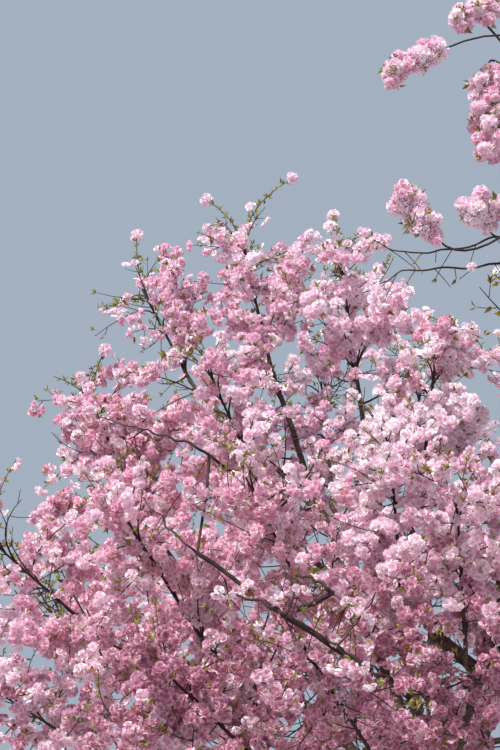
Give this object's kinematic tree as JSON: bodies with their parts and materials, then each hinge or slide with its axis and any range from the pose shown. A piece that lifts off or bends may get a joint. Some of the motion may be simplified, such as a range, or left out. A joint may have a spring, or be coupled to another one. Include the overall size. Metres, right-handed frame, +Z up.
{
  "type": "flowering cherry tree",
  "caption": "Rooted flowering cherry in full double pink blossom: a flared trunk, boughs that open like a vase, and garlands of blossom with bare shoots above the crown.",
  "frame": {"origin": "middle of the flat cut under the trunk, at ground level", "axes": "+Z up, and +Y away from the viewer of the picture, with +X to the viewer's right"},
  "size_m": [7.424, 7.3552, 7.89],
  "materials": {
    "bark": "rough",
    "blossom_high": "matt",
    "blossom_middle": "matt",
    "blossom_low": "matt"
  },
  "bodies": {
    "root": {"trunk": "bark", "top_left_bough": "bark", "top_middle_bough": "bark", "left_bough": "bark", "near_bough": "bark", "top_right_bough": "bark", "top_back_bough": "bark", "high_left_bough": "bark", "upper_left_bough": "bark", "upper_middle_bough": "bark", "high_back_left_bough": "bark", "crown_right_bough": "bark", "front_middle_bough": "bark", "front_left_bough": "bark", "left_edge_bough": "bark", "left_middle_bough": "bark", "left_low_bough": "bark", "left_back_bough": "bark", "front_left_low_bough": "bark", "front_low_bough": "bark", "front_bough": "bark", "front_right_bough": "bark", "near_right_bough": "bark", "right_high_bough": "bark", "right_bough": "bark", "right_low_bough": "bark", "right_back_low_bough": "bark", "back_right_bough": "bark", "back_low_bough": "bark", "back_left_bough": "bark", "top_left_blossom": "blossom_high", "top_middle_blossom": "blossom_high", "left_blossom": "blossom_middle", "near_blossom": "blossom_high", "top_right_blossom": "blossom_high", "top_back_blossom": "blossom_high", "high_left_blossom": "blossom_high", "upper_left_blossom": "blossom_middle", "upper_middle_blossom": "blossom_high", "high_back_left_blossom": "blossom_high", "crown_right_blossom": "blossom_middle", "front_middle_blossom": "blossom_middle", "front_left_blossom": "blossom_middle", "left_edge_blossom": "blossom_middle", "left_middle_blossom": "blossom_middle", "left_low_blossom": "blossom_low", "left_back_blossom": "blossom_middle", "front_left_low_blossom": "blossom_low", "front_low_blossom": "blossom_low", "front_blossom": "blossom_low", "front_right_blossom": "blossom_low", "near_right_blossom": "blossom_middle", "right_high_blossom": "blossom_high", "right_blossom": "blossom_middle", "right_low_blossom": "blossom_low", "right_back_low_blossom": "blossom_low", "back_right_blossom": "blossom_middle", "back_low_blossom": "blossom_low", "back_left_blossom": "blossom_middle"}
  },
  "joints": []
}
